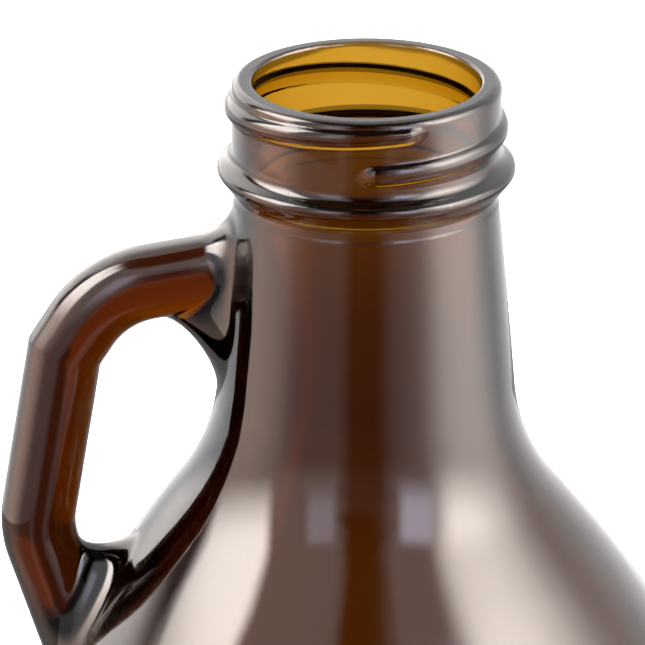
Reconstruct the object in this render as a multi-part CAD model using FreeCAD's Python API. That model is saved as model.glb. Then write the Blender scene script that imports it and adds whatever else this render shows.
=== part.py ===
"""Glass growler jug: a 64 US fl oz amber jug with a one-start screw finish and a rod handle.

Millimetres, +Z up. The origin is the centre of the base, on the plane the jug stands on.
The handle lies in the XZ plane on the -X side. Outline points are (radius, height) pairs.
"""

import FreeCAD
import Part
import math
import os

# ---- driving dimensions ---------------------------------------------------------------

HEIGHT = 266.0            # bearing plane to sealing lip
BODY_R = 65.0             # outside radius of the body
WALL = 4.0                # from the foot of the neck down to the heel
FINISH_R = 17.74          # outside radius of the finish between the threads (E / 2)
BORE_R = 15.0             # clear bore through the finish
LIP_ROUND = 0.9           # rounding of the sealing lip's two edges
LIP_DEPTH = 1.3           # height of the rounded lip

THREAD_R = 18.70          # outside radius of the thread (T / 2)
THREAD_WIDTH = 2.9        # width of the ridge where it leaves the finish
THREAD_PITCH = 6.3
THREAD_TOP_DROP = 1.55    # ridge centre below the lip at the upper end
THREAD_START_DEG = 25.6   # azimuth of the upper end, from the front (-Y) towards +X
THREAD_TURN_DEG = 391.0
THREAD_FADE_DEG = 28.0    # each end sinks into the wall over this angle
THREAD_STEP_DEG = 8.0     # spacing of the ridge's cross-sections
THREAD_SINK = 0.08        # depth of the ridge's crest below the wall at its two ends

BEAD_ROUND = 2.6          # section radius of the transfer bead
BEAD_CENTRE_R = 17.26
BEAD_DROP = 12.0          # bead centre below the lip

NECK_TAPER_DEG = 5.1      # half-angle of the neck cone
NECK_REF_R = 17.25        # neck radius at NECK_REF_DROP
NECK_REF_DROP = 13.0
NECK_END_DROP = 42.3      # where the cone runs into the flare
FLARE_R = 32.0            # concave sweep from neck to shoulder
SHOULDER_DEG = 38.5       # steepest lean of the wall, between flare and shoulder
SHOULDER_LEAD = 5.6       # straight stretch between the flare and the convex shoulder

HEEL_R = 12.0             # rounding between body and base
FOOT_STEP = 0.5           # the bearing ring stands this far below the heel
FOOT_INNER_R = 46.5
FOOT_OUTER_R = 52.5
PUSH_UP = 5.0             # height of the hollow under the base, at the centre
BASE_THICK = 5.2          # glass at the centre of the base

ROD_R = 5.05              # handle rod
TOP_RUN_SLOPE_DEG = 10.9  # the top run falls outwards
TOP_RUN_DROP = 22.90      # its centre line, produced to the jug's axis, below the lip
GRIP_LEAN_DEG = 9.43      # the grip leans outwards going down
GRIP_X_AT_LIP = -33.79    # its centre line, produced up to the lip's level
LEG_LEAN_DEG = 18.19      # the lower leg runs back inwards
LEG_X_AT_LIP = -65.31
UPPER_BEND_R = 15.3
LOWER_BEND_R = 12.34
UPPER_ROOT_FILLET = 5.0
LOWER_ROOT_FILLET = 3.5
LEG_REACH = 18.0          # how far the leg's rod is carried on into the shoulder

LITRES_PER_MM3 = 1.0e-6
G_PER_MM3 = 2.5e-3        # soda-lime glass


# ---- small helpers --------------------------------------------------------------------


def unit(degrees):
    """Unit vector at this angle above the outward or +X direction."""
    a = math.radians(degrees)
    return (math.cos(a), math.sin(a))


def along(point, direction, distance):
    return (point[0] + distance * direction[0], point[1] + distance * direction[1])


def in_space(point, y=0.0):
    """An (x or radius, height) pair as a vector in the XZ plane."""
    return FreeCAD.Vector(point[0], y, point[1])


def line(a, b):
    return Part.LineSegment(in_space(a), in_space(b)).toShape()


def arc(centre, radius, from_deg, to_deg):
    """Arc about centre, with its ends at the two angles."""
    middle = 0.5 * (from_deg + to_deg)
    ends = [in_space(along(centre, unit(a), radius)) for a in (from_deg, middle, to_deg)]
    return Part.Arc(*ends).toShape()


def dome(rim_r, rim_z, top_z):
    """Shallow arc from the axis at top_z out to a rim."""
    rise = top_z - rim_z
    radius = (rim_r**2 + rise**2) / (2.0 * rise)
    rim_deg = math.degrees(math.acos(rim_r / radius))
    return arc((0.0, top_z - radius), radius, 90.0, rim_deg)


def turned(edges):
    """Solid of revolution about the jug's axis from the edges of a closed outline."""
    wire = Part.Wire(Part.__sortEdges__(edges))
    return Part.Face(wire).revolve(FreeCAD.Vector(), FreeCAD.Vector(0, 0, 1), 360)


def tube(outer_r, inner_r, low, high):
    """Plain upright tube between two heights."""
    start = FreeCAD.Vector(0, 0, low)
    outer = Part.makeCylinder(outer_r, high - low, start)
    return outer.cut(Part.makeCylinder(inner_r, high - low, start))


def meet(p, d, q, e):
    """Where the line through p along d crosses the line through q along e."""
    cross = d[0] * e[1] - d[1] * e[0]
    s = ((q[0] - p[0]) * e[1] - (q[1] - p[1]) * e[0]) / cross
    return along(p, d, s)


# ---- outline of the jug, from the lip down --------------------------------------------


def neck_radius(z):
    drop = HEIGHT - z - NECK_REF_DROP
    return NECK_REF_R + drop * math.tan(math.radians(NECK_TAPER_DEG))


def bead_foot():
    """Height at which the bead's underside runs into the neck cone."""
    z = HEIGHT - BEAD_DROP - BEAD_ROUND
    for _ in range(20):
        reach = neck_radius(z) - BEAD_CENTRE_R
        z = HEIGHT - BEAD_DROP - math.sqrt(BEAD_ROUND**2 - reach**2)
    return z


Z_LIP_LOW = HEIGHT - LIP_DEPTH
BEAD_CENTRE = (BEAD_CENTRE_R, HEIGHT - BEAD_DROP)
BEAD_TOP_DEG = math.degrees(math.acos((FINISH_R - BEAD_CENTRE_R) / BEAD_ROUND))
BEAD_TOP = along(BEAD_CENTRE, unit(BEAD_TOP_DEG), BEAD_ROUND)
BEAD_FOOT = (neck_radius(bead_foot()), bead_foot())
BEAD_FOOT_DEG = -math.degrees(math.acos((BEAD_FOOT[0] - BEAD_CENTRE_R) / BEAD_ROUND))

NECK_LOW = (neck_radius(HEIGHT - NECK_END_DROP), HEIGHT - NECK_END_DROP)
NECK_LOW_IN = along(NECK_LOW, unit(NECK_TAPER_DEG), -WALL)
FLARE_C = along(NECK_LOW, unit(NECK_TAPER_DEG), FLARE_R)
FLARE_LOW = along(FLARE_C, unit(SHOULDER_DEG), -FLARE_R)
FLARE_LOW_IN = along(FLARE_LOW, unit(SHOULDER_DEG), -WALL)
LEAD_LOW = along(FLARE_LOW, unit(SHOULDER_DEG - 90.0), SHOULDER_LEAD)
LEAD_LOW_IN = along(LEAD_LOW, unit(SHOULDER_DEG), -WALL)
SHOULDER_R = (BODY_R - LEAD_LOW[0]) / (1.0 - math.cos(math.radians(SHOULDER_DEG)))
SHOULDER_C = along(LEAD_LOW, unit(SHOULDER_DEG), -SHOULDER_R)
Z_BODY_TOP = SHOULDER_C[1]
HEEL_C = (BODY_R - HEEL_R, FOOT_STEP + HEEL_R)


def sealing_lip():
    outer_c = (FINISH_R - LIP_ROUND, HEIGHT - LIP_ROUND)
    inner_c = (BORE_R + LIP_ROUND, HEIGHT - LIP_ROUND)
    outline = [
        line((FINISH_R, Z_LIP_LOW), (FINISH_R, outer_c[1])),
        arc(outer_c, LIP_ROUND, 0.0, 90.0),
        line((outer_c[0], HEIGHT), (inner_c[0], HEIGHT)),
        arc(inner_c, LIP_ROUND, 90.0, 180.0),
        line((BORE_R, inner_c[1]), (BORE_R, Z_LIP_LOW)),
        line((BORE_R, Z_LIP_LOW), (FINISH_R, Z_LIP_LOW)),
    ]
    return turned(outline)


def finish_wall():
    """Plain tube that carries the thread, between lip and bead."""
    return tube(FINISH_R, BORE_R, BEAD_TOP[1], Z_LIP_LOW)


def thread_ridge():
    """Rounded helical ridge whose two ends sink away into the finish."""
    proud = THREAD_R - FINISH_R
    half = 0.5 * THREAD_WIDTH
    section_r = (half**2 + proud**2) / (2.0 * proud)
    count = int(round(THREAD_TURN_DEG / THREAD_STEP_DEG))
    sections = []
    for i in range(count + 1):
        turned_deg = THREAD_TURN_DEG * i / count
        to_end = min(turned_deg, THREAD_TURN_DEG - turned_deg) / THREAD_FADE_DEG
        fade = 0.5 - 0.5 * math.cos(math.pi * min(1.0, to_end))
        radius = THREAD_R - section_r - (1.0 - fade) * (proud + THREAD_SINK)
        azimuth = math.radians(THREAD_START_DEG - turned_deg - 90.0)
        ahead = FreeCAD.Vector(math.sin(azimuth), -math.cos(azimuth), 0.0)
        z = HEIGHT - THREAD_TOP_DROP - THREAD_PITCH * turned_deg / 360.0
        centre = FreeCAD.Vector(radius * math.cos(azimuth), radius * math.sin(azimuth), z)
        sections.append(Part.Wire(Part.makeCircle(section_r, centre, ahead)))
    ridge = Part.makeLoft(sections, True, False)
    core = Part.makeCylinder(FINISH_R, HEIGHT + THREAD_PITCH)
    return ridge.cut(core)


def transfer_bead():
    """Half-round ring under the thread, and the wall behind it."""
    outline = [
        arc(BEAD_CENTRE, BEAD_ROUND, BEAD_TOP_DEG, BEAD_FOOT_DEG),
        line(BEAD_FOOT, (BORE_R, BEAD_FOOT[1])),
        line((BORE_R, BEAD_FOOT[1]), (BORE_R, BEAD_TOP[1])),
        line((BORE_R, BEAD_TOP[1]), BEAD_TOP),
    ]
    return turned(outline)


def neck():
    outline = [
        line(BEAD_FOOT, NECK_LOW),
        line(NECK_LOW, NECK_LOW_IN),
        line(NECK_LOW_IN, (BORE_R, BEAD_FOOT[1])),
        line((BORE_R, BEAD_FOOT[1]), BEAD_FOOT),
    ]
    return turned(outline)


def neck_flare():
    top, low = 180.0 + NECK_TAPER_DEG, 180.0 + SHOULDER_DEG
    outline = [
        arc(FLARE_C, FLARE_R, top, low),
        line(FLARE_LOW, FLARE_LOW_IN),
        arc(FLARE_C, FLARE_R + WALL, low, top),
        line(NECK_LOW_IN, NECK_LOW),
    ]
    return turned(outline)


def shoulder():
    outline = [
        line(FLARE_LOW, LEAD_LOW),
        arc(SHOULDER_C, SHOULDER_R, SHOULDER_DEG, 0.0),
        line((BODY_R, Z_BODY_TOP), (BODY_R - WALL, Z_BODY_TOP)),
        arc(SHOULDER_C, SHOULDER_R - WALL, 0.0, SHOULDER_DEG),
        line(LEAD_LOW_IN, FLARE_LOW_IN),
        line(FLARE_LOW_IN, FLARE_LOW),
    ]
    return turned(outline)


def body_wall():
    return tube(BODY_R, BODY_R - WALL, HEEL_C[1], Z_BODY_TOP)


def heel():
    outer_low = (HEEL_C[0], FOOT_STEP)
    inner_low = (HEEL_C[0], FOOT_STEP + WALL)
    outline = [
        arc(HEEL_C, HEEL_R, 0.0, -90.0),
        line(outer_low, inner_low),
        arc(HEEL_C, HEEL_R - WALL, -90.0, 0.0),
        line((BODY_R - WALL, HEEL_C[1]), (BODY_R, HEEL_C[1])),
    ]
    return turned(outline)


def base_panel():
    """Floor of the jug, pushed up in the middle so that only the foot touches down."""
    rim = (HEEL_C[0], FOOT_STEP)
    rim_in = (HEEL_C[0], FOOT_STEP + WALL)
    top_in = (0.0, PUSH_UP + BASE_THICK)
    outline = [
        dome(FOOT_INNER_R, FOOT_STEP, PUSH_UP),
        line((FOOT_INNER_R, FOOT_STEP), rim),
        line(rim, rim_in),
        dome(rim_in[0], rim_in[1], top_in[1]),
        line(top_in, (0.0, PUSH_UP)),
    ]
    return turned(outline)


def bearing_ring():
    """Low flat foot that the jug stands on."""
    return tube(FOOT_OUTER_R, FOOT_INNER_R, 0.0, FOOT_STEP)


# ---- handle, in the XZ plane ----------------------------------------------------------

TOP_DIR = unit(180.0 + TOP_RUN_SLOPE_DEG)
GRIP_DIR = unit(270.0 - GRIP_LEAN_DEG)
LEG_DIR = unit(270.0 + LEG_LEAN_DEG)
TOP_POINT = (0.0, HEIGHT - TOP_RUN_DROP)
UPPER_CORNER = meet(TOP_POINT, TOP_DIR, (GRIP_X_AT_LIP, HEIGHT), GRIP_DIR)
LOWER_CORNER = meet((GRIP_X_AT_LIP, HEIGHT), GRIP_DIR, (LEG_X_AT_LIP, HEIGHT), LEG_DIR)
UPPER_TURN_DEG = 90.0 - GRIP_LEAN_DEG - TOP_RUN_SLOPE_DEG
LOWER_TURN_DEG = GRIP_LEAN_DEG + LEG_LEAN_DEG
UPPER_TANGENT = UPPER_BEND_R * math.tan(math.radians(0.5 * UPPER_TURN_DEG))
LOWER_TANGENT = LOWER_BEND_R * math.tan(math.radians(0.5 * LOWER_TURN_DEG))
ROOT_INSIDE = along(TOP_POINT, TOP_DIR, 0.5 * FINISH_R)
TOP_END = along(UPPER_CORNER, TOP_DIR, -UPPER_TANGENT)
GRIP_TOP = along(UPPER_CORNER, GRIP_DIR, UPPER_TANGENT)
GRIP_LOW = along(LOWER_CORNER, GRIP_DIR, -LOWER_TANGENT)
LEG_TOP = along(LOWER_CORNER, LEG_DIR, LOWER_TANGENT)
LEG_INSIDE = along(LEG_TOP, LEG_DIR, LEG_REACH)


def rod(start, end):
    """Straight stretch of the handle rod."""
    run = in_space(end) - in_space(start)
    return Part.makeCylinder(ROD_R, run.Length, in_space(start), run)


def bend(start, direction, radius, turn_deg):
    """Bent stretch of the rod that starts at start and turns towards the jug."""
    inwards = (-direction[1], direction[0])
    centre = in_space(along(start, inwards, radius))
    circle = Part.Wire(Part.makeCircle(ROD_R, in_space(start), in_space(direction)))
    return Part.Face(circle).revolve(centre, FreeCAD.Vector(0, -1, 0), turn_deg)


def neck_core():
    """Everything inside the outside of the neck, as one solid."""
    top = (0.0, BEAD_FOOT[1])
    low = (0.0, NECK_LOW[1])
    outline = [
        line(top, BEAD_FOOT),
        line(BEAD_FOOT, NECK_LOW),
        line(NECK_LOW, low),
        line(low, top),
    ]
    return turned(outline)


def shoulder_core():
    """Everything inside the outside of the shoulder, as one solid."""
    top = (0.0, FLARE_LOW[1])
    low = (0.0, Z_BODY_TOP)
    outline = [
        line(top, FLARE_LOW),
        line(FLARE_LOW, LEAD_LOW),
        arc(SHOULDER_C, SHOULDER_R, SHOULDER_DEG, 0.0),
        line((BODY_R, Z_BODY_TOP), low),
        line(low, top),
    ]
    return turned(outline)


def rooted(run, core, radius):
    """A run of rod ending on the jug's outside, with a fillet all round where they meet."""
    joined = core.fuse(run)
    near = 1.0e-3
    seams = []
    for edge in joined.Edges:
        point = edge.valueAt(0.5 * (edge.FirstParameter + edge.LastParameter))
        probe = Part.Vertex(point)
        on_core = min(probe.distToShape(face)[0] for face in core.Faces) < near
        on_run = min(probe.distToShape(face)[0] for face in run.Faces) < near
        if on_core and on_run:
            seams.append(edge)
    return joined.makeFillet(radius, seams).cut(core)


def handle_upper_root():
    return rooted(rod(ROOT_INSIDE, TOP_END), neck_core(), UPPER_ROOT_FILLET)


def handle_upper_bend():
    return bend(TOP_END, TOP_DIR, UPPER_BEND_R, UPPER_TURN_DEG)


def handle_grip():
    return rod(GRIP_TOP, GRIP_LOW)


def handle_lower_bend():
    return bend(GRIP_LOW, GRIP_DIR, LOWER_BEND_R, LOWER_TURN_DEG)


def handle_lower_root():
    return rooted(rod(LEG_TOP, LEG_INSIDE), shoulder_core(), LOWER_ROOT_FILLET)


# ---- build ----------------------------------------------------------------------------


def cavity():
    """The space inside the jug, filled to the brim."""
    floor_rim = (HEEL_C[0], FOOT_STEP + WALL)
    outline = [
        dome(floor_rim[0], floor_rim[1], PUSH_UP + BASE_THICK),
        arc(HEEL_C, HEEL_R - WALL, -90.0, 0.0),
        line((BODY_R - WALL, HEEL_C[1]), (BODY_R - WALL, Z_BODY_TOP)),
        arc(SHOULDER_C, SHOULDER_R - WALL, 0.0, SHOULDER_DEG),
        line(LEAD_LOW_IN, FLARE_LOW_IN),
        arc(FLARE_C, FLARE_R + WALL, 180.0 + SHOULDER_DEG, 180.0 + NECK_TAPER_DEG),
        line(NECK_LOW_IN, (BORE_R, BEAD_FOOT[1])),
        line((BORE_R, BEAD_FOOT[1]), (BORE_R, HEIGHT)),
        line((BORE_R, HEIGHT), (0.0, HEIGHT)),
        line((0.0, HEIGHT), (0.0, PUSH_UP + BASE_THICK)),
    ]
    return turned(outline)


def main():
    os.makedirs("parts", exist_ok=True)
    makers = [
        sealing_lip, finish_wall, thread_ridge, transfer_bead, neck, neck_flare, shoulder,
        body_wall, heel, base_panel, bearing_ring, handle_upper_root, handle_upper_bend,
        handle_grip, handle_lower_bend, handle_lower_root,
    ]
    glass = 0.0
    for maker in makers:
        shape = maker()
        shape.exportStep(os.path.join("parts", maker.__name__ + ".step"))
        glass += shape.Volume
        print("%-18s valid %s, solids %d, %.0f mm3" % (
            maker.__name__, shape.isValid(), len(shape.Solids), shape.Volume))
    print("glass %.0f g" % (glass * G_PER_MM3))
    print("brimful %.3f litres" % (cavity().Volume * LITRES_PER_MM3))
    print("shoulder radius %.1f, body top %.1f" % (SHOULDER_R, Z_BODY_TOP))


main()
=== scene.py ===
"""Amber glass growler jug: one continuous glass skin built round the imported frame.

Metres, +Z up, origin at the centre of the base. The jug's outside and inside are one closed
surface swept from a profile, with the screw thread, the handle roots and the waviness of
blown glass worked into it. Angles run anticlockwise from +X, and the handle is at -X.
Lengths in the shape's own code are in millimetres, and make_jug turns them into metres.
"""

import math

import bpy
import numpy as np
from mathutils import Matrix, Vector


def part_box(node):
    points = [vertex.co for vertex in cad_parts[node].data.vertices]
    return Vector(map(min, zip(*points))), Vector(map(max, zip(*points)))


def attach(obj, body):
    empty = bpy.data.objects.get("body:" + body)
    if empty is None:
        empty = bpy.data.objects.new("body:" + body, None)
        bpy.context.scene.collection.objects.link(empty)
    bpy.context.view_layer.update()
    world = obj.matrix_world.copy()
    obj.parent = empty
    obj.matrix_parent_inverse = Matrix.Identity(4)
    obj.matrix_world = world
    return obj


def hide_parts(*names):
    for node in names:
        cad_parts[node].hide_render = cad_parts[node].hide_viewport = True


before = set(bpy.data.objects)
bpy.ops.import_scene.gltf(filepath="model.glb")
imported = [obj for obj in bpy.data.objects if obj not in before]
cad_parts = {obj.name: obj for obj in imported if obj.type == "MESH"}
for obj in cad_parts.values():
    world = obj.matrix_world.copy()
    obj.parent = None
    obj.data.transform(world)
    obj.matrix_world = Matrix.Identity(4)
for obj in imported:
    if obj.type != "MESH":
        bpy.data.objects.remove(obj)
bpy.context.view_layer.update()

MM = 0.001
TAU = 2.0 * math.pi


def high(node, axis=2):
    """A CAD node's highest coordinate, in millimetres."""
    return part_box(node)[1][axis] / MM


# ---- sizes taken from the frame (mm) ---------------------------------------------------

LIP = high("sealing_lip")
BODY_R = high("body_wall", 0)
FINISH_R = high("finish_wall", 0)
BEAD_R = high("transfer_bead", 0)
HEEL_TOP = high("heel")
FOOT_STEP = high("bearing_ring")
FOOT_R = high("bearing_ring", 0)

# ---- shape of the glass (mm, heights measured from the lip) ----------------------------

LIP_INNER_R = 15.0
LIP_ROUND = 1.15
LIP_INNER_ROUND = 0.5
BEAD = (                      # corners of the transfer bead: radius, height, rounding
    (18.25, -14.15, 0.9),
    (BEAD_R + 0.30, -11.70, 0.95),
    (FINISH_R, -10.3, 1.7),
    (FINISH_R, -8.8, 0.0),
)
BEAD_FOOT = (-15.6, -14.75, 0.8)    # where its outline starts, and its corner on the neck
BEAD_TOP = -8.4               # height by which the bead has ended
PARTING_DROP = 16.4           # where the finish mould ends and the neck begins
PARTING_STEP = 0.14
PARTING_HALF = 0.25           # half the height over which it steps in
NECK_TAPER = math.radians(5.1)
NECK_REF = (17.25, -13.0)     # a point of the neck's outline
FLARE_R = 27.0
FLARE_END = (27.30, -59.5)    # a point of the steepest stretch
SHOULDER_LEAN = math.radians(38.5)
SHOULDER_R = 160.0
HEEL_R = 12.0
FOOT_INNER_R = 46.5
PANEL_R = 45.5                # edge of the pushed-up base panel
PANEL_RISE = 0.25             # that edge's height above the bearing ring's top
PUSH_UP = 5.0                 # underside of the glass at the centre of the base
FLOOR_TOP = 10.2              # top of the glass at the centre of the base
FLOOR_EDGE_IN = 4.0           # the floor starts to rise this far in from the heel's rounding

BORE_LOW = (15.0, -17.0)      # inside of the neck, top and bottom
BORE_BEND_R = 60.0
NECK_IN_LOW = (15.6, -43.0)
BODY_WALL = 3.1
HEEL_WALL = 4.4

THREAD_R = 18.70
THREAD_HALF = 1.45            # half the ridge's width at its foot
THREAD_PITCH = 6.3
THREAD_TOP_DROP = 1.50
THREAD_START = math.radians(27.0)   # from the front (-Y) towards +X
THREAD_TURN = math.radians(393.0)
THREAD_FADE = math.radians(10.0)
THREAD_LIFT = 1.0             # the last part of the turn climbs less steeply
THREAD_LIFT_SPAN = (math.radians(210.0), math.radians(393.0))
THREAD_BLEND = 0.45           # softness of the ridge's foot
THREAD_LOW_END = -10.5

RELIEF_DEPTH = 1.8
INSIDE_RELIEF = 0.3           # share of the hollow that shows on the inside
RELIEF_TOP = (52.0, 80.0)     # drop below the lip where the hollow starts and is full
RELIEF_LOW = (84.0, 108.0)
RELIEF_WIDTH = (math.radians(22.0), math.radians(60.0))

HEAVY = (1.0, 3.8)            # extra glass inside the wall by the upper root, and by the lower
HEAVY_GROWS = (38.0, 74.0)    # drop over which it changes from one to the other
HEAVY_TOP = (16.0, 26.0)      # drop below the lip where it starts and is full
HEAVY_LOW = (100.0, 145.0)
HEAVY_WIDTH = (math.radians(22.0), math.radians(65.0))

ROD_R = 5.05
TOP_RUN = (0.0, -22.90, math.radians(190.9))      # a point of each centre line, and its heading
KNUCKLE = (-38.69, -35.98, math.radians(237.5))
GRIP = (-33.79, 0.0, math.radians(260.57))
LEG = (-65.31, 0.0, math.radians(288.19))
UPPER_BEND_R = 13.75
KNUCKLE_R = 1.6
LOWER_BEND_R = 12.34

# How far each root's fillet spreads: away from the loop, towards the loop, on the flanks
TOP_FOOT_SPREAD = (4.3, 11.5, 2.4)
TOP_ROD_SPREAD = (4.4, 8.8, 2.6)
LOW_FOOT_SPREAD = (4.0, 9.4, 3.4)
LOW_ROD_SPREAD = (3.5, 6.6, 3.4)

# ---- mesh density ----------------------------------------------------------------------

COLUMNS = 240
TOP_HOLE = (20, 12)           # half the columns and rows that a handle root takes up
LOW_HOLE = (10, 22)
RING = 4 * (TOP_HOLE[0] + TOP_HOLE[1])
ROOT_ROWS = 10
BEND_ROWS = (14, 4, 10)       # upper bend, knuckle, lower bend
STRAIGHT_ROWS = (3, 6, 22, 6) # the stretches of the rod before, between and after the bends
FILLET_PULL = (0.6, 0.32, 0.55)     # how far the fillet leans into the corner, as for spreads
WARP_REACH_TOP = (2.3, 7.0)   # how far up and down the grid is drawn in round a hole
WARP_REACH_LOW = (8.0, 12.0)
WARP_REACH_SIDE = 9.0
TOP_SEARCH = (8.0, 32.0)      # radii between which the upper root enters the jug
LOW_SEARCH = (95.0, 66.0)     # and drops below the lip for the lower root
FOOT_BAND = (1.6, 1.0)        # fine rows start before the foot's lowest point and end past its top
LIP_ROWS = 20
INNER_NECK_END = -62.0        # height down to which the inside's rows stay closer
INNER_HEEL_RUN = 20.0         # distance past the heel's top to which they are close again

# ---- unevenness of blown glass (mm) ----------------------------------------------------

OUTSIDE_WAVES = (             # amplitude, wavelength, direction, phase
    (0.010, 23.0, (1.0, 0.3, 0.4), 0.3),
    (0.008, 14.0, (-0.4, 1.0, 0.7), 1.9),
    (0.006, 9.5, (0.5, -0.6, 1.0), 4.0),
    (0.003, 6.5, (1.0, 0.9, -0.2), 2.2),
)
INSIDE_WAVES = (
    (0.060, 31.0, (0.3, 1.0, 0.5), 0.8),
    (0.035, 17.0, (1.0, -0.5, 0.6), 2.6),
    (0.012, 9.0, (0.2, 0.7, 1.0), 5.1),
)
INSIDE_STREAKS = ((0.07, 3, 0.4), (0.05, 5, 2.0), (0.03, 8, 3.3), (0.012, 17, 1.1))
STREAK_TWIST = 0.02           # radians per mm of height
WAVES_START = (0.5, 6.0)      # drop below the lip where the outside's waves start and are full
CALM_SHARE = 0.12             # the inside of the finish is this much as wavy as the body
CALM_SPAN = (12.0, 45.0)

# ---- light and camera (metres) ---------------------------------------------------------

GLASS_IOR = 1.52
ABSORPTION_COLOUR = (0.818, 0.703, 0.0)
ABSORPTION_DENSITY = 1482.0   # per metre
MARKS_SCALE = 45.0            # patches of softer gloss
MARKS_SPAN = (0.42, 0.72)     # noise values at which a patch starts and is full
GLOSS_SPAN = (0.008, 0.06)    # roughness outside a patch and in it
RIPPLE_SCALE = 260.0
RIPPLE_STRETCH = (1.0, 1.0, 0.35)
RIPPLE_DEPTH = 0.00006
RIPPLE_STRENGTH = 0.12
FLOOR_TONES = (0.80, 0.84)
FLOOR_HALF = 6.0
BOUNCES = 24                  # enough for light that crosses several walls and turns inside them

# The surroundings as the camera, the floor and the jug's reflections see them. Directions are
# in degrees: azimuth from the front (-Y) towards +X, elevation from level. A span is (nothing
# before, full from, full to, nothing after), and ends past +-90 or +-180 are never reached.
ROOM = 1.40                   # radiance of the white surroundings
NEUTRAL = (1.0, 1.0, 1.0)
WARM = (1.12, 1.02, 0.95)
LILAC = (0.90, 0.86, 1.12)
HANDLE_TINT = (2.0, 1.05, 0.66)     # on the handle's side, as if amber glass had coloured it
ALL_ROUND = (-999, -998, 998, 999)
PANELS = (                    # azimuth span, elevation span, radiance added, tint
    ((43, 64, 65, 122), (-4, 30, 34, 70), 11.5, WARM),
    ((38, 72, 80, 128), (-99, -95, 25, 55), 4.0, WARM),
    ((-114, -104, -73, -63), (4, 38, 44, 74), 15.0, WARM),
    ((-128, -92, -86, -48), (-99, -95, 18, 42), 1.0, HANDLE_TINT),
    ((-178, -165, -128, -112), (-8, 6, 38, 60), 2.2, WARM),
    ((-44, -36, -26, -17), (8, 26, 38, 46), 2.0, LILAC),
    ((20, 29, 42, 52), (4, 24, 37, 47), 5.0, LILAC),
)
SHADES = (                    # azimuth span, elevation span, share of the light taken away
    ((-78, -45, 18, 45), (-99, -95, -3, 13), 0.55),
    ((-24, -9, 7, 24), (-99, -95, 58, 75), 0.88),
    ((-18, -10, 2, 12), (24, 30, 58, 75), 0.85),
    ((-999, -998, -32, -18), (-99, -95, -20.4, -19.8), 0.68),
    ((18, 32, 998, 999), (-99, -95, -20.4, -19.8), 0.68),
    ((-128, -105, 105, 128), (54, 64, 95, 99), 0.95),
    ((-126, -120, -114, -106), (8, 16, 34, 44), 0.85),
)
# The calmer surroundings seen through one thickness of glass, as in the mouth's far wall and
# the handle. For these and the next, azimuth is measured from straight behind the jug (+Y).
ONE_TINT = (1.06, 0.86, 1.3)
ONE_SHADES = (
    ((-999, -998, -28, -14), (-99, -95, 95, 99), 0.40),
    ((14, 28, 998, 999), (-99, -95, 95, 99), 0.40),
    (ALL_ROUND, (-99, -95, -21.6, -19.9), 0.61),
    (ALL_ROUND, (-99, -95, -44, -30), 0.15),
    (ALL_ROUND, (50, 62, 95, 99), 0.70),
)
# The surroundings seen through both sides of the jug
TWO_TINT = (1.0, 0.72, 1.0)
TWO_SHADES = (
    (ALL_ROUND, (-99, -95, 95, 99), 0.45),
    ((-17, -2, 2, 17), (-99, -95, 95, 99), 0.44),
    (ALL_ROUND, (-99, -95, -44, -28), 0.90),
)
TURNED_SHARE = 0.32           # of the light left, where it has also been reflected in the glass
ONE_WALL_MOST = 3.0           # a ray that crossed the skin more often came through both sides
TURNS_MOST = 1.5              # one whose bounces outnumber its crossings by more was reflected
RAGGED = 9.0                  # span over which the edges of SHADES wander sideways, in degrees

LENS = 319.9                  # mm
CLIP = (0.05, 50.0)
CAMERA_AT = (0.0, -0.7088, 0.5112)
CAMERA_PITCH = math.radians(21.515)
CAMERA_YAW = math.radians(0.467)


# ---- outlines --------------------------------------------------------------------------


def rounded(corners, step=0.05):
    """Dense path through (x, z, radius) corners, each rounded by an arc of its radius."""
    pts = np.array([c[:2] for c in corners], float)
    path = [pts[:1]]
    for i in range(1, len(pts) - 1):
        radius = corners[i][2]
        back = pts[i - 1] - pts[i]
        ahead = pts[i + 1] - pts[i]
        back /= np.linalg.norm(back)
        ahead /= np.linalg.norm(ahead)
        turn = math.acos(np.clip(-back @ ahead, -1.0, 1.0))
        if radius <= 0.0 or turn < 1e-6:
            path.append(pts[i : i + 1])
            continue
        bisector = (back + ahead) / np.linalg.norm(back + ahead)
        centre = pts[i] + bisector * radius / math.cos(0.5 * turn)
        start = pts[i] + back * radius * math.tan(0.5 * turn) - centre
        normal = -bisector
        side = np.array([-normal[1], normal[0]])
        a0 = math.atan2(start @ side, start @ normal)
        a = np.linspace(a0, -a0, max(3, int(radius * turn / step)))
        path.append(centre + radius * (np.outer(np.cos(a), normal) + np.outer(np.sin(a), side)))
    path.append(pts[-1:])
    return np.vstack(path)


def arc(centre, radius, a0, a1, step=0.05):
    """Points of an arc between two angles."""
    a = np.linspace(a0, a1, max(3, int(radius * abs(a1 - a0) / step)))
    return np.column_stack([centre[0] + radius * np.cos(a), centre[1] + radius * np.sin(a)])


def dense(path, step=0.04):
    """The same path with points at most a step apart."""
    s = length_along(path)
    count = int(s[-1] / step) + 2
    t = np.union1d(s, np.linspace(0.0, s[-1], count))
    return np.column_stack([np.interp(t, s, path[:, 0]), np.interp(t, s, path[:, 1])])


def length_along(path):
    """Distance from a path's start to each of its points."""
    return np.concatenate([[0.0], np.cumsum(np.hypot(*np.diff(path, axis=0).T))])


def smooth_max(a, b, width):
    """The larger of two heights, with a soft fillet where they cross."""
    near = np.maximum(width - np.abs(a - b), 0.0) / width
    return np.maximum(a, b) + near**3 * width / 6.0


def swell(x, x0, x1):
    """Smooth rise from 0 at x0 to 1 at x1."""
    t = np.clip((x - x0) / (x1 - x0), 0.0, 1.0)
    return t * t * (3.0 - 2.0 * t)


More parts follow.
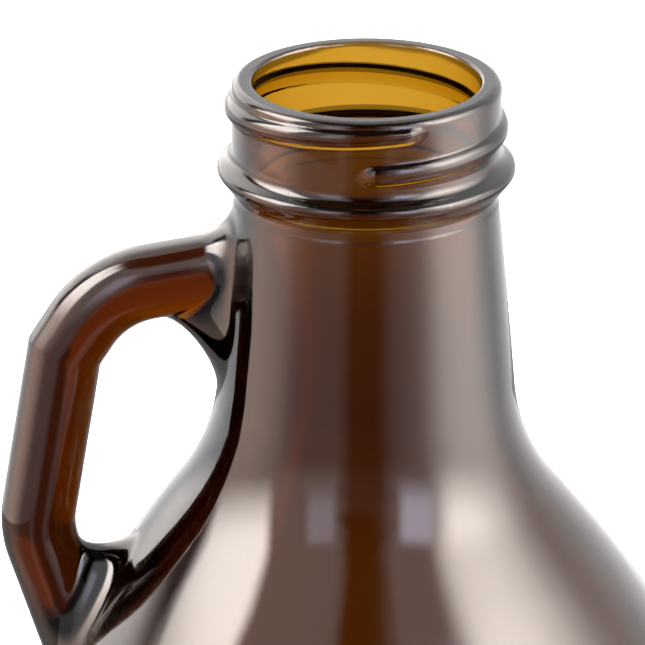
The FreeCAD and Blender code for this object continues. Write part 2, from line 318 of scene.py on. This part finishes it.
def dish(r_end, z_end, z_centre):
    """Base surface from the axis to a radius, level at both ends."""
    r = np.linspace(0.0, r_end, 200)
    return np.column_stack([r, z_end + (z_centre - z_end) * (0.5 + 0.5 * np.cos(math.pi * r / r_end))])


def crossing(p, q):
    """Where two lines cross, each given as (x, z, heading)."""
    d = (math.cos(p[2]), math.sin(p[2]))
    e = (math.cos(q[2]), math.sin(q[2]))
    t = ((q[0] - p[0]) * e[1] - (q[1] - p[1]) * e[0]) / (d[0] * e[1] - d[1] * e[0])
    return p[0] + t * d[0], p[1] + t * d[1]


def bead_outline():
    """The transfer bead, a narrow shelf over a leaning face, from the neck up to the finish."""
    start, foot, fillet = BEAD_FOOT
    return rounded([
        (neck_line(start) - PARTING_STEP, start, 0.0),
        (neck_line(foot) - PARTING_STEP, foot, fillet),
        *BEAD,
    ])


def neck_line(z):
    """Outside radius of the neck cone."""
    return NECK_REF[0] + (NECK_REF[1] - z) * math.tan(NECK_TAPER)


def outside():
    """The jug's outside, from the centre of the base to the top of the finish."""
    lead = (*FLARE_END, math.pi / 2 + SHOULDER_LEAN)
    neck = (*NECK_REF, math.pi / 2 + NECK_TAPER)
    wall = (BODY_R, 0.0, math.pi / 2)
    foot_top = FOOT_STEP - LIP
    body = rounded([
        (PANEL_R, foot_top + PANEL_RISE, 0.0),
        (FOOT_INNER_R, foot_top + 0.2, 0.3),
        (FOOT_INNER_R + 0.5, -LIP, 0.6),
        (FOOT_R - 0.2, -LIP, 0.8),
        (FOOT_R + 0.6, foot_top, 0.6),
        (BODY_R, foot_top, HEEL_R - 0.6),
        (*crossing(lead, wall), SHOULDER_R),
        (*crossing(lead, neck), FLARE_R),
        (*NECK_REF, 0.0),
    ])
    base = dish(PANEL_R, foot_top + PANEL_RISE, PUSH_UP - LIP)
    path = dense(np.vstack([base, body[1:]]))
    bead = bead_outline()
    path = path[path[:, 1] < bead[0, 1]]
    top, bottom = -PARTING_DROP + PARTING_HALF, -PARTING_DROP - PARTING_HALF
    path[:, 0] -= PARTING_STEP * swell(path[:, 1], bottom, top)
    return dense(np.vstack([path, bead, [(FINISH_R, -LIP_ROUND)]]))


def lip():
    """Over the rounded lip, from the finish's outside to the bore."""
    outer_c = (FINISH_R - LIP_ROUND, -LIP_ROUND)
    inner_c = (LIP_INNER_R + LIP_INNER_ROUND, -LIP_INNER_ROUND)
    return dense(np.vstack([
        arc(outer_c, LIP_ROUND, 0.0, math.pi / 2),
        arc(inner_c, LIP_INNER_ROUND, math.pi / 2, math.pi, 0.02),
    ]))


def inside():
    """The jug's inside, from the bore down to the centre of the floor."""
    shift = (-BODY_WALL * math.cos(SHOULDER_LEAN), -BODY_WALL * math.sin(SHOULDER_LEAN))
    lead = (FLARE_END[0] + shift[0], FLARE_END[1] + shift[1], math.pi / 2 + SHOULDER_LEAN)
    slope = math.atan2(NECK_IN_LOW[1] - BORE_LOW[1], NECK_IN_LOW[0] - BORE_LOW[0])
    wall = (BODY_R - BODY_WALL, 0.0, math.pi / 2)
    floor_z = FOOT_STEP + HEEL_WALL - LIP
    floor_r = BODY_R - HEEL_R - FLOOR_EDGE_IN
    body = rounded([
        (LIP_INNER_R, -LIP_INNER_ROUND, 0.0),
        (*BORE_LOW, BORE_BEND_R),
        (*crossing((*NECK_IN_LOW, slope), lead), FLARE_R + BODY_WALL),
        (*crossing(lead, wall), SHOULDER_R - BODY_WALL),
        (BODY_R - BODY_WALL, floor_z, HEEL_R - BODY_WALL),
        (floor_r, floor_z, 0.0),
    ])
    floor = dish(floor_r, floor_z, FLOOR_TOP - LIP)[::-1]
    return dense(np.vstack([body, floor[1:]]))


def height_on(path, height, rising=True):
    """Distance along a path at which it reaches a height."""
    s = length_along(path)
    if rising:
        return float(np.interp(height, path[:, 1], s))
    return float(np.interp(-height, -path[:, 1], s))


# ---- the swept surface -----------------------------------------------------------------


class Surface:
    """The jug's outside as a surface over (angle, distance along the outline)."""

    def __init__(self, path):
        self.path = path
        self.s = length_along(path)
        self.foot = int(np.argmin(path[:, 1] + 1e-6 * path[:, 0]))

    def radius(self, s):
        return np.interp(s, self.s, self.path[:, 0])

    def distance(self, height):
        """Distance along the outline at a height; past the foot, the outline rises all the way."""
        return np.interp(height, self.path[self.foot :, 1], self.s[self.foot :])

    def points(self, angle, s):
        z = np.interp(s, self.s, self.path[:, 1])
        r = with_thread(self.radius(s), angle, z) - relief(angle, z)
        return np.stack([r * np.cos(angle), r * np.sin(angle), z], axis=-1)

    def normals(self, angle, s, step=0.02):
        """Unit normals, pointing out of the glass."""
        turn = step / np.maximum(self.radius(s), 1.0)
        around = self.points(angle + turn, s) - self.points(angle - turn, s)
        along = self.points(angle, s + step) - self.points(angle, s - step)
        n = np.cross(around, along)
        return n / np.linalg.norm(n, axis=-1)[..., None]


def with_thread(r, angle, z):
    """Adds the rounded helical ridge, whose ends sink back into the wall."""
    proud = THREAD_R - FINISH_R
    section = (THREAD_HALF**2 + proud**2) / (2.0 * proud)
    from_front = np.mod(angle + math.pi / 2, TAU)
    for turn in (0, 1):
        along = THREAD_START - from_front + TAU * (turn + (from_front > THREAD_START))
        to_end = np.minimum(along, THREAD_TURN - along)
        sink = (1.0 - swell(to_end, 0.0, THREAD_FADE)) * (proud + THREAD_BLEND)
        drop = THREAD_TOP_DROP + THREAD_PITCH * along / TAU
        dz = z + drop - THREAD_LIFT * swell(along, *THREAD_LIFT_SPAN)
        crest = THREAD_R - section - sink + np.sqrt(np.maximum(section**2 - dz**2, 0.0))
        on_ridge = (np.abs(dz) < section) & (to_end > 0.0) & (z > THREAD_LOW_END)
        r = np.where(on_ridge, smooth_max(r, crest, THREAD_BLEND), r)
    return r


def relief(angle, z):
    """The shoulder's shallow hollow beside the lower root, which clears the fingers."""
    around = np.abs(np.mod(angle, TAU) - math.pi)
    down = swell(-z, *RELIEF_TOP) * (1.0 - swell(-z, *RELIEF_LOW))
    return RELIEF_DEPTH * down * (1.0 - swell(around, *RELIEF_WIDTH))


def heavier(angle, z):
    """How much thicker the glass is beside the handle."""
    around = np.abs(np.mod(angle, TAU) - math.pi)
    down = swell(-z, *HEAVY_TOP) * (1.0 - swell(-z, *HEAVY_LOW))
    extra = HEAVY[0] + (HEAVY[1] - HEAVY[0]) * swell(-z, *HEAVY_GROWS)
    return extra * down * (1.0 - swell(around, *HEAVY_WIDTH))


# ---- the handle ------------------------------------------------------------------------


def away(heading):
    """Sideways from a centre line, away from the finger loop."""
    return np.array([math.sin(heading), -math.cos(heading)])


def shifted(line, offset):
    """A centre line moved sideways, away from the finger loop."""
    side = away(line[2]) * offset
    return (line[0] + side[0], line[1] + side[1], line[2])


class Root:
    """Where one end of the rod meets the jug, with the fillet that joins them.

    For every point round the rod it holds foot, the fillet's edge on the jug as (angle,
    distance); corner, where the bare rod would enter the jug; and rim, the fillet's edge on
    the rod. Spreads are given as (away from the loop, towards the loop, on the flanks).
    """

    def __init__(self, surface, line, hole, foot_spread, rod_spread, at_top):
        self.surface, self.hole, self.at_top = surface, hole, at_top
        theta = TAU * np.arange(RING) / RING
        out = 1.0 if at_top else -1.0
        heading = out * np.array([math.cos(line[2]), 0.0, math.sin(line[2])])
        self.corner = np.array([self.pierce(line, t, heading) for t in theta])
        angle = np.mod(np.arctan2(self.corner[:, 1], self.corner[:, 0]), TAU)
        s = surface.distance(self.corner[:, 2])
        middle = 0.5 * (s.min() + s.max())
        self.scale = float(surface.radius(middle))
        flat = np.column_stack([(angle - math.pi) * self.scale, s])
        outward = flat - [0.0, middle]
        outward /= np.linalg.norm(outward, axis=1)[:, None]
        flat = flat + outward * spread(theta, foot_spread)[:, None]
        self.foot = np.column_stack([math.pi + flat[:, 0] / self.scale, flat[:, 1]])
        self.rim = self.corner + heading * spread(theta, rod_spread)[:, None]

    def pierce(self, line, theta, heading):
        """Where a straight line of the rod's skin enters the jug."""
        lane = shifted(line, ROD_R * math.cos(theta))
        base = np.array([lane[0], ROD_R * math.sin(theta), lane[1]])
        if self.at_top:
            inner, outer = TOP_SEARCH
        else:
            inner, outer = (-(drop + lane[1]) / heading[2] for drop in LOW_SEARCH)
        for _ in range(50):
            middle = 0.5 * (inner + outer)
            p = base + heading * middle
            buried = math.hypot(p[0], p[1]) < self.surface.radius(self.surface.distance(p[2]))
            inner, outer = (middle, outer) if buried else (inner, middle)
        return base + heading * inner

    def ring_index(self, dj, di):
        """Which point of the ring a place on the rectangular hole's edge becomes."""
        a, b = self.hole
        di = di if self.at_top else -di
        return np.select(
            [di == b, dj == -a, di == -b],
            [(-dj) % RING, a + b - di, 2 * a + 2 * b + dj],
            3 * a + 3 * b + di,
        )

    def fillet(self):
        """Rows of points from the jug's surface up on to the rod."""
        angle, s = self.foot.T
        start = self.surface.points(angle, s)
        normal = self.surface.normals(angle, s)
        lean = self.corner - start
        flat = lean - normal * np.sum(lean * normal, axis=1)[:, None]
        stretch = np.linalg.norm(lean, axis=1) / np.linalg.norm(flat, axis=1)
        pull = spread(TAU * np.arange(RING) / RING, FILLET_PULL)[:, None]
        first = start + pull * flat * stretch[:, None]
        second = self.rim + pull * (self.corner - self.rim)
        rows = []
        for t in np.linspace(0.0, 1.0, ROOT_ROWS + 1):
            rows.append((1 - t) ** 3 * start + 3 * (1 - t) ** 2 * t * first
                        + 3 * (1 - t) * t**2 * second + t**3 * self.rim)
        return rows


def spread(theta, values):
    """A width round the rod from its values away from the loop, towards it and on the flanks."""
    far, near, flank = values
    width = far + (near - far) * (0.5 - 0.5 * np.cos(theta))
    return width + (flank - width) * np.sin(theta) ** 2


def bend(before, after, offset, radius, rows):
    """One line of the rod's skin round a bend, from tangent point to tangent point."""
    centre = crossing(shifted(before, offset - radius), shifted(after, offset - radius))
    headings = np.linspace(before[2], after[2], rows + 1)
    return [np.array(centre) + radius * away(h) for h in headings]


def rod_line(theta, start, end):
    """One line of the rod's skin, from the upper fillet's rim to the lower one's."""
    h = ROD_R * math.cos(theta)
    upper = bend(TOP_RUN, KNUCKLE, h, UPPER_BEND_R + h, BEND_ROWS[0])
    kink = bend(KNUCKLE, GRIP, h, KNUCKLE_R, BEND_ROWS[1])
    lower = bend(GRIP, LEG, h, LOWER_BEND_R + h, BEND_ROWS[2])
    starts = (start, upper[-1], kink[-1], lower[-1])
    ends = (upper[0], kink[0], lower[0], end)
    line = []
    for a, b, rows in zip(starts, ends, STRAIGHT_ROWS):
        t = np.linspace(0.0, 1.0, rows + 1)[:, None]
        line.append((1 - t) * np.array(a) + t * np.array(b))
    line = np.vstack([line[0][1:], upper[1:], line[1][1:], kink[1:],
                      line[2][1:], lower[1:], line[3][1:-1]])
    side = np.full(len(line), ROD_R * math.sin(theta))
    return np.column_stack([line[:, 0], side, line[:, 1]])


# ---- the mesh --------------------------------------------------------------------------


def stations(*stops):
    """Distances along a path: each stop is (distance, rows up to it from the stop before)."""
    out = [np.array([stops[0][0]])]
    for (a, _), (b, rows) in zip(stops[:-1], stops[1:]):
        out.append(np.linspace(a, b, rows + 1)[1:])
    return np.concatenate(out)


def grid_outside(surface, roots):
    """Angles and distances of the outside's grid, drawn in to the fillets round both holes."""
    top, low_root = roots
    foot = surface.s[surface.foot]
    s = stations(
        (0.0, 0),
        (foot - FOOT_BAND[0], 14),
        (surface.distance(-LIP + FOOT_STEP) + FOOT_BAND[1], 12),
        (surface.distance(HEEL_TOP - LIP), 12),
        (surface.distance(high("body_wall") - LIP), 8),
        (low_root.foot[:, 1].min(), 34),
        (low_root.foot[:, 1].max(), 2 * LOW_HOLE[1]),
        (top.foot[:, 1].min(), 14),
        (top.foot[:, 1].max(), 2 * TOP_HOLE[1]),
        (surface.distance(BEAD_TOP), 44),
        (surface.s[-1], 40),
    )
    angle = TAU * np.arange(COLUMNS) / COLUMNS
    grid_a, grid_s = np.meshgrid(angle, s)
    row, col = np.meshgrid(np.arange(len(s)), np.arange(COLUMNS), indexing="ij")
    flat_s = grid_s.copy()
    for root in roots:
        a, b = root.hole
        root.first_row = int(np.argmin(np.abs(s - root.foot[:, 1].min())))
        di = row - root.first_row - b
        dj = col - COLUMNS // 2
        near_i, near_j = np.clip(di, -b, b), np.clip(dj, -a, a)
        k = root.ring_index(near_j, near_i)
        at_s = s[near_i + root.first_row + b]
        at_a = angle[near_j + COLUMNS // 2]
        reach_up, reach_down = WARP_REACH_TOP if root.at_top else WARP_REACH_LOW
        off_s = flat_s - at_s
        off_s = np.where(off_s > 0, off_s / reach_up, -off_s / reach_down)
        off_a = np.abs(dj - near_j) * (TAU / COLUMNS) * root.scale / WARP_REACH_SIDE
        pull = (1.0 - swell(off_s, 0.0, 1.0)) * (1.0 - swell(off_a, 0.0, 1.0))
        grid_a = grid_a + pull * (root.foot[k, 0] - at_a)
        grid_s = grid_s + pull * (root.foot[k, 1] - at_s)
    return grid_a, grid_s


def build_mesh():
    """Vertices (mm, heights from the lip), faces and which vertices are on the inside."""
    surface = Surface(outside())
    top = Root(surface, TOP_RUN, TOP_HOLE, TOP_FOOT_SPREAD, TOP_ROD_SPREAD, True)
    low_root = Root(surface, LEG, LOW_HOLE, LOW_FOOT_SPREAD, LOW_ROD_SPREAD, False)
    grid_a, grid_s = grid_outside(surface, (top, low_root))
    outer = surface.points(grid_a, grid_s)
    angle = TAU * np.arange(COLUMNS) / COLUMNS
    over = lip()
    over_s = np.linspace(0.0, length_along(over)[-1], LIP_ROWS + 1)[1:-1]
    inner = inside()
    inner_s = stations(
        (0.0, 0),
        (height_on(inner, BORE_LOW[1], False), 12),
        (height_on(inner, NECK_IN_LOW[1], False), 20),
        (height_on(inner, INNER_NECK_END, False), 18),
        (height_on(inner, high("body_wall") - LIP, False), 26),
        (height_on(inner, HEEL_TOP - LIP, False), 6),
        (height_on(inner, HEEL_TOP - LIP, False) + INNER_HEEL_RUN, 8),
        (length_along(inner)[-1], 8),
    )
    rows = [outer]
    for path, s in ((over, over_s), (inner, inner_s)):
        along = length_along(path)
        r = np.interp(s, along, path[:, 0])[:, None]
        z = np.interp(s, along, path[:, 1])[:, None] + 0.0 * angle
        r = r - INSIDE_RELIEF * relief(angle, z) - heavier(angle, z)
        rows.append(np.stack([r * np.cos(angle), r * np.sin(angle), z], axis=-1))
    points = np.concatenate(rows)
    row_count = len(points)
    verts = points.reshape(-1, 3)
    is_inside = np.repeat(np.arange(row_count) >= len(outer) + len(over_s), COLUMNS)

    # quads between the rows, without the two holes; the first and last rows close to a point
    index = np.arange(row_count * COLUMNS).reshape(row_count, COLUMNS)
    right = np.roll(index, -1, axis=1)
    keep = np.ones((row_count - 1, COLUMNS), bool)
    for root in (top, low_root):
        a, b = root.hole
        first = root.first_row
        keep[first : first + 2 * b, COLUMNS // 2 - a : COLUMNS // 2 + a] = False
    keep[0] = keep[-1] = False
    quads = np.stack([index[:-1], right[:-1], right[1:], index[1:]], axis=-1)[keep]
    fans = [(index[0, 0], b, a) for a, b in zip(index[1], right[1])]
    fans += [(a, b, index[-1, 0]) for a, b in zip(index[-2], right[-2])]

    # the handle: a ring of the upper hole's edge, the fillet, the rod, the fillet, the lower hole
    rings = [hole_edge(index, top)]
    up, down = top.fillet(), low_root.fillet()
    theta = TAU * np.arange(RING) / RING
    rod = np.stack([rod_line(t, (up[-1][k, 0], up[-1][k, 2]), (down[-1][k, 0], down[-1][k, 2]))
                    for k, t in enumerate(theta)], axis=1)
    for ring in [*up[1:], *rod, *down[:0:-1]]:
        rings.append(len(verts) + np.arange(RING))
        verts = np.vstack([verts, ring])
    rings.append(hole_edge(index, low_root))
    for a, b in zip(rings[:-1], rings[1:]):
        quads = np.vstack([quads, np.stack([a, np.roll(a, -1), np.roll(b, -1), b], axis=-1)])
    is_inside = np.concatenate([is_inside, np.zeros(len(verts) - len(is_inside), bool)])

    # vertices in the holes, and spare copies of the two poles, belong to no face
    used = np.zeros(len(verts), bool)
    used[quads.ravel()] = True
    used[np.array(fans).ravel()] = True
    renumber = np.cumsum(used) - 1
    faces = [tuple(f) for f in renumber[quads].tolist()]
    faces += [tuple(int(renumber[i]) for i in f) for f in fans]
    return verts[used], faces, is_inside[used]


def hole_edge(index, root):
    """Grid vertices round a hole, in the order of the ring."""
    a, b = root.hole
    ring = np.zeros(RING, int)
    for dj in range(-a, a + 1):
        for di in (range(-b, b + 1) if abs(dj) == a else (-b, b)):
            k = int(root.ring_index(np.array(dj), np.array(di)))
            ring[k] = index[root.first_row + b + di, COLUMNS // 2 + dj]
    return ring


def ripple(points, waves):
    """Sum of plane waves over points; each wave is (amplitude, wavelength, direction, phase)."""
    total = np.zeros(len(points))
    for amplitude, wavelength, direction, phase in waves:
        along = points @ (np.array(direction) / np.linalg.norm(direction))
        total += amplitude * np.sin(TAU * along / wavelength + phase)
    return total


def uneven(points, is_inside):
    """How far each vertex moves along its normal: the glass is never quite even."""
    angle = np.arctan2(points[:, 1], points[:, 0])
    out = ripple(points, OUTSIDE_WAVES)
    twist = STREAK_TWIST * points[:, 2]
    streaks = sum(a * np.sin(m * angle + f + twist) for a, m, f in INSIDE_STREAKS)
    within = ripple(points, INSIDE_WAVES) + streaks
    calm_lip = swell(-points[:, 2], *WAVES_START)
    calm_finish = CALM_SHARE + (1.0 - CALM_SHARE) * swell(-points[:, 2], *CALM_SPAN)
    crest = sum(w[0] for w in OUTSIDE_WAVES)    # taken off, so that no wave stands out of the jug
    return np.where(is_inside, within * calm_finish, (out - crest) * calm_lip)


def make_jug():
    """The whole glass as one closed mesh, standing on the floor."""
    verts, faces, is_inside = build_mesh()
    mesh = bpy.data.meshes.new("amber_jug")
    mesh.from_pydata(verts.tolist(), [], faces)
    normals = np.zeros(len(verts) * 3, np.float32)
    mesh.vertex_normals.foreach_get("vector", normals)
    moved = verts + normals.reshape(-1, 3) * uneven(verts, is_inside)[:, None]
    moved[:, 2] = np.clip(moved[:, 2] + LIP, 0.0, LIP)
    mesh.vertices.foreach_set("co", (moved * MM).astype(np.float32).ravel())
    mesh.polygons.foreach_set("use_smooth", [True] * len(mesh.polygons))
    mesh.update()
    jug = bpy.data.objects.new("amber_jug", mesh)
    bpy.context.scene.collection.objects.link(jug)
    return jug


# ---- materials -------------------------------------------------------------------------


def node(tree, kind, location, **values):
    """A shader node with inputs set by name; other settings are passed with a leading set_."""
    n = tree.nodes.new(kind)
    n.location = location
    for name, value in values.items():
        if name.startswith("set_"):
            setattr(n, name[4:], value)
        else:
            n.inputs[name.replace("_", " ")].default_value = value
    return n


def amber_glass():
    """Clear refracting glass, coloured only by how far light travels in it."""
    mat = bpy.data.materials.new("amber_glass")
    mat.use_nodes = True
    t = mat.node_tree
    t.nodes.clear()
    out = node(t, "ShaderNodeOutputMaterial", (900, 0))
    glass = node(t, "ShaderNodeBsdfPrincipled", (500, 0), IOR=GLASS_IOR, Transmission_Weight=1.0,
                 Base_Color=(1.0, 1.0, 1.0, 1.0))
    body = node(t, "ShaderNodeVolumeAbsorption", (500, -500),
                Color=(*ABSORPTION_COLOUR, 1.0), Density=ABSORPTION_DENSITY)
    t.links.new(glass.outputs["BSDF"], out.inputs["Surface"])
    t.links.new(body.outputs["Volume"], out.inputs["Volume"])
    place = node(t, "ShaderNodeTexCoord", (-900, 0))

    # handling marks: faint patches of softer gloss
    marks = node(t, "ShaderNodeTexNoise", (-600, 200), Scale=MARKS_SCALE, Detail=4.0, Roughness=0.6)
    gloss = node(t, "ShaderNodeMapRange", (-300, 200), From_Min=MARKS_SPAN[0], From_Max=MARKS_SPAN[1],
                 To_Min=GLOSS_SPAN[0], To_Max=GLOSS_SPAN[1])
    t.links.new(place.outputs["Object"], marks.inputs["Vector"])
    t.links.new(marks.outputs["Fac"], gloss.inputs["Value"])
    t.links.new(gloss.outputs["Result"], glass.inputs["Roughness"])

    # mould ripple, long down the jug and short round it
    drawn = node(t, "ShaderNodeMapping", (-700, -200))
    drawn.inputs["Scale"].default_value = RIPPLE_STRETCH
    fine = node(t, "ShaderNodeTexNoise", (-450, -200), Scale=RIPPLE_SCALE, Detail=2.0, Roughness=0.5)
    bump = node(t, "ShaderNodeBump", (150, -250), Strength=RIPPLE_STRENGTH, Distance=RIPPLE_DEPTH)
    t.links.new(place.outputs["Object"], drawn.inputs["Vector"])
    t.links.new(drawn.outputs["Vector"], fine.inputs["Vector"])
    t.links.new(fine.outputs["Fac"], bump.inputs["Height"])
    t.links.new(bump.outputs["Normal"], glass.inputs["Normal"])
    return mat


def pale_floor():
    mat = bpy.data.materials.new("pale_floor")
    mat.use_nodes = True
    t = mat.node_tree
    surface = t.nodes["Principled BSDF"]
    place = node(t, "ShaderNodeTexCoord", (-700, 0))
    grain = node(t, "ShaderNodeTexNoise", (-500, 0), Scale=6.0, Detail=3.0)
    tone = node(t, "ShaderNodeMapRange", (-300, 0), To_Min=FLOOR_TONES[0], To_Max=FLOOR_TONES[1])
    t.links.new(place.outputs["Object"], grain.inputs["Vector"])
    t.links.new(grain.outputs["Fac"], tone.inputs["Value"])
    t.links.new(tone.outputs["Result"], surface.inputs["Base Color"])
    surface.inputs["Roughness"].default_value = 0.75
    surface.inputs["Specular IOR Level"].default_value = 0.2
    return mat


# ---- surroundings ----------------------------------------------------------------------


def maths(t, operation, first, second):
    """A maths node; either value is a socket or a plain number."""
    n = node(t, "ShaderNodeMath", (0, 0), set_operation=operation)
    for slot, value in zip(n.inputs, (first, second)):
        if isinstance(value, (int, float)):
            slot.default_value = value
        else:
            t.links.new(value, slot)
    return n.outputs["Value"]


def between(t, value, span):
    """1 within a span of degrees and 0 outside; a span is (start, full, full, end)."""
    weights = []
    for outer, inner in (span[:2], (span[3], span[2])):
        edge = node(t, "ShaderNodeMapRange", (0, 0), set_interpolation_type="SMOOTHSTEP",
                    From_Min=outer, From_Max=inner)
        t.links.new(value, edge.inputs["Value"])
        weights.append(edge.outputs["Result"])
    return maths(t, "MULTIPLY", *weights)


def surroundings():
    """The studio: a white room with soft panels and darker places, set by direction.

    Rays that have come through the glass see calmer surroundings, which differ with how many
    walls they have crossed, and dimmer ones if they were reflected inside the glass as well.
    """
    world = bpy.data.worlds.new("studio")
    bpy.context.scene.world = world
    world.use_nodes = True
    t = world.node_tree
    place = t.nodes.new("ShaderNodeTexCoord")
    part = t.nodes.new("ShaderNodeSeparateXYZ")
    t.links.new(place.outputs["Generated"], part.inputs["Vector"])
    forward = maths(t, "MULTIPLY", part.outputs["Y"], -1.0)
    degrees = 180.0 / math.pi
    azimuth = maths(t, "MULTIPLY", maths(t, "ARCTAN2", part.outputs["X"], forward), degrees)
    elevation = maths(t, "MULTIPLY", maths(t, "ARCSINE", part.outputs["Z"], 0.0), degrees)
    shift = node(t, "ShaderNodeTexNoise", (0, 0), Scale=7.0, Detail=3.0, Roughness=0.6)
    t.links.new(place.outputs["Generated"], shift.inputs["Vector"])
    wander = maths(t, "MULTIPLY", maths(t, "SUBTRACT", shift.outputs["Fac"], 0.5), RAGGED)
    light = lit(t, azimuth, elevation, PANELS)
    level = shaded(t, light, maths(t, "ADD", azimuth, wander), elevation, SHADES)
    backward = maths(t, "MULTIPLY", maths(t, "ARCTAN2", part.outputs["X"], part.outputs["Y"]), degrees)
    one = shaded(t, lit(t, backward, elevation, ()), backward, elevation, ONE_SHADES)
    two = shaded(t, lit(t, backward, elevation, ()), backward, elevation, TWO_SHADES)
    path = t.nodes.new("ShaderNodeLightPath")
    walls = maths(t, "GREATER_THAN", path.outputs["Transmission Depth"], ONE_WALL_MOST)
    turns = maths(t, "SUBTRACT", path.outputs["Ray Depth"], path.outputs["Transmission Depth"])
    turned = maths(t, "GREATER_THAN", turns, TURNS_MOST)
    share = maths(t, "SUBTRACT", 1.0, maths(t, "MULTIPLY", turned, 1.0 - TURNED_SHARE))
    one = tinted(t, "MULTIPLY", one, share, ONE_TINT)
    two = tinted(t, "MULTIPLY", two, share, TWO_TINT)
    through = either(t, walls, one, two)
    chosen = either(t, path.outputs["Is Transmission Ray"], level, through)
    t.links.new(chosen, t.nodes["Background"].inputs["Color"])


def either(t, choice, first, second):
    """The first colour where the choice is 0 and the second where it is 1."""
    n = node(t, "ShaderNodeMix", (0, 0), set_data_type="RGBA")
    t.links.new(choice, n.inputs["Factor"])
    t.links.new(first, n.inputs[6])
    t.links.new(second, n.inputs[7])
    return n.outputs[2]


def lit(t, azimuth, elevation, panels):
    """The room's own light with that of the panels added."""
    level = node(t, "ShaderNodeCombineColor", (0, 0), Red=ROOM, Green=ROOM, Blue=ROOM).outputs[0]
    for az_span, el_span, radiance, tint in panels:
        weight = maths(t, "MULTIPLY", between(t, azimuth, az_span), between(t, elevation, el_span))
        level = tinted(t, "ADD", level, maths(t, "MULTIPLY", weight, radiance), tint)
    return level


def shaded(t, level, azimuth, elevation, shades):
    """Takes a share of the light away within each span."""
    for az_span, el_span, depth in shades:
        weight = maths(t, "MULTIPLY", between(t, azimuth, az_span), between(t, elevation, el_span))
        rest = maths(t, "SUBTRACT", 1.0, maths(t, "MULTIPLY", weight, depth))
        level = tinted(t, "MULTIPLY", level, rest, NEUTRAL)
    return level


def tinted(t, operation, colour, value, tint):
    """Adds a value to a colour, or multiplies the colour by it, with the value tinted first."""
    coloured = node(t, "ShaderNodeVectorMath", (0, 0), set_operation="SCALE")
    coloured.inputs[0].default_value = tint
    t.links.new(value, coloured.inputs["Scale"])
    both = node(t, "ShaderNodeVectorMath", (0, 0), set_operation=operation)
    t.links.new(colour, both.inputs[0])
    t.links.new(coloured.outputs["Vector"], both.inputs[1])
    return both.outputs["Vector"]


def plane(name, corners, material):
    mesh = bpy.data.meshes.new(name)
    mesh.from_pydata(corners, [], [(0, 1, 2, 3)])
    mesh.materials.append(material)
    obj = bpy.data.objects.new(name, mesh)
    bpy.context.scene.collection.objects.link(obj)
    return obj


def camera():
    """A long lens, looking down on the finish and the handle from the front."""
    data = bpy.data.cameras.new("camera")
    data.lens = LENS
    data.clip_start, data.clip_end = CLIP
    cam = bpy.data.objects.new("camera", data)
    cam.location = CAMERA_AT
    cam.rotation_euler = (math.pi / 2 - CAMERA_PITCH, 0.0, CAMERA_YAW)
    bpy.context.scene.collection.objects.link(cam)
    bpy.context.scene.camera = cam


# ---- the scene -------------------------------------------------------------------------

jug = make_jug()
jug.data.materials.append(amber_glass())
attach(jug, "root")
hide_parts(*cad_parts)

corners = [(x * FLOOR_HALF, y * FLOOR_HALF, 0) for x, y in ((-1, -1), (1, -1), (1, 1), (-1, 1))]
floor = plane("floor", corners, pale_floor())
floor.visible_glossy = False
floor.visible_transmission = False
surroundings()
camera()

scene = bpy.context.scene
scene.view_settings.view_transform = "Standard"
scene.cycles.max_bounces = BOUNCES
scene.cycles.transmission_bounces = BOUNCES
scene.cycles.transparent_max_bounces = 16
scene.cycles.blur_glossy = 0.0
scene.cycles.sample_clamp_indirect = 0.0
scene.cycles.use_denoising = True
